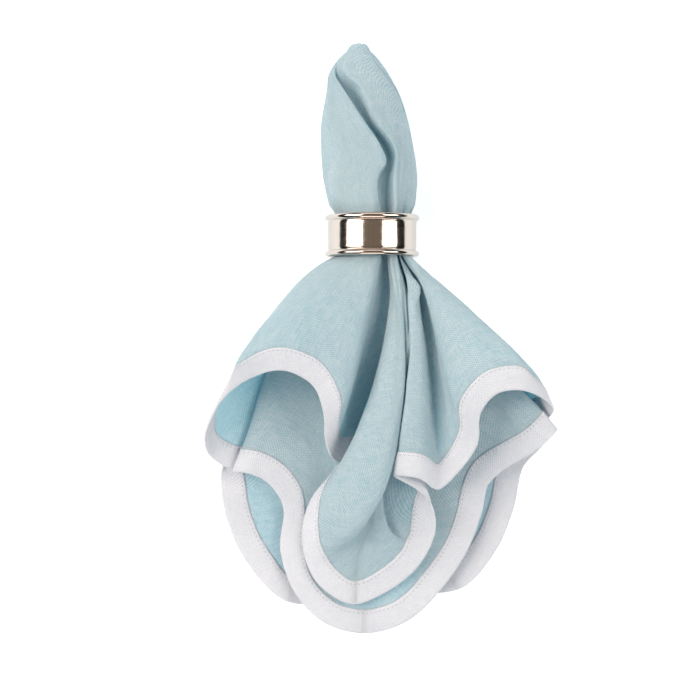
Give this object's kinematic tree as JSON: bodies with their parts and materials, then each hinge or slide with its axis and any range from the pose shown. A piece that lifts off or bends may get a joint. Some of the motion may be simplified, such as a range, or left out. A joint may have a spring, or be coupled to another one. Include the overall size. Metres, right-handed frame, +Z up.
{
  "type": "napkin in a napkin ring",
  "caption": "Light blue linen napkin with a white bound border, pinched at its middle and drawn through a polished beaded ring, its corners fanned out on the table",
  "frame": {"origin": "middle of the base of the part's box, on the table", "axes": "+Y from the fanned corners to the pinched tail, which is the longest side; +Z up from the table, which is the shortest side; +X to the right seen from above with the tail at the top"},
  "size_m": [0.1728, 0.295, 0.0615],
  "materials": {
    "blue_linen": "plain woven linen, matt, light blue",
    "white_linen": "plain woven linen, matt, white",
    "silver_plate": "mirror polished silver plate"
  },
  "bodies": {
    "root": {"panel": "blue_linen", "border": "white_linen", "ring": "silver_plate"}
  },
  "joints": []
}
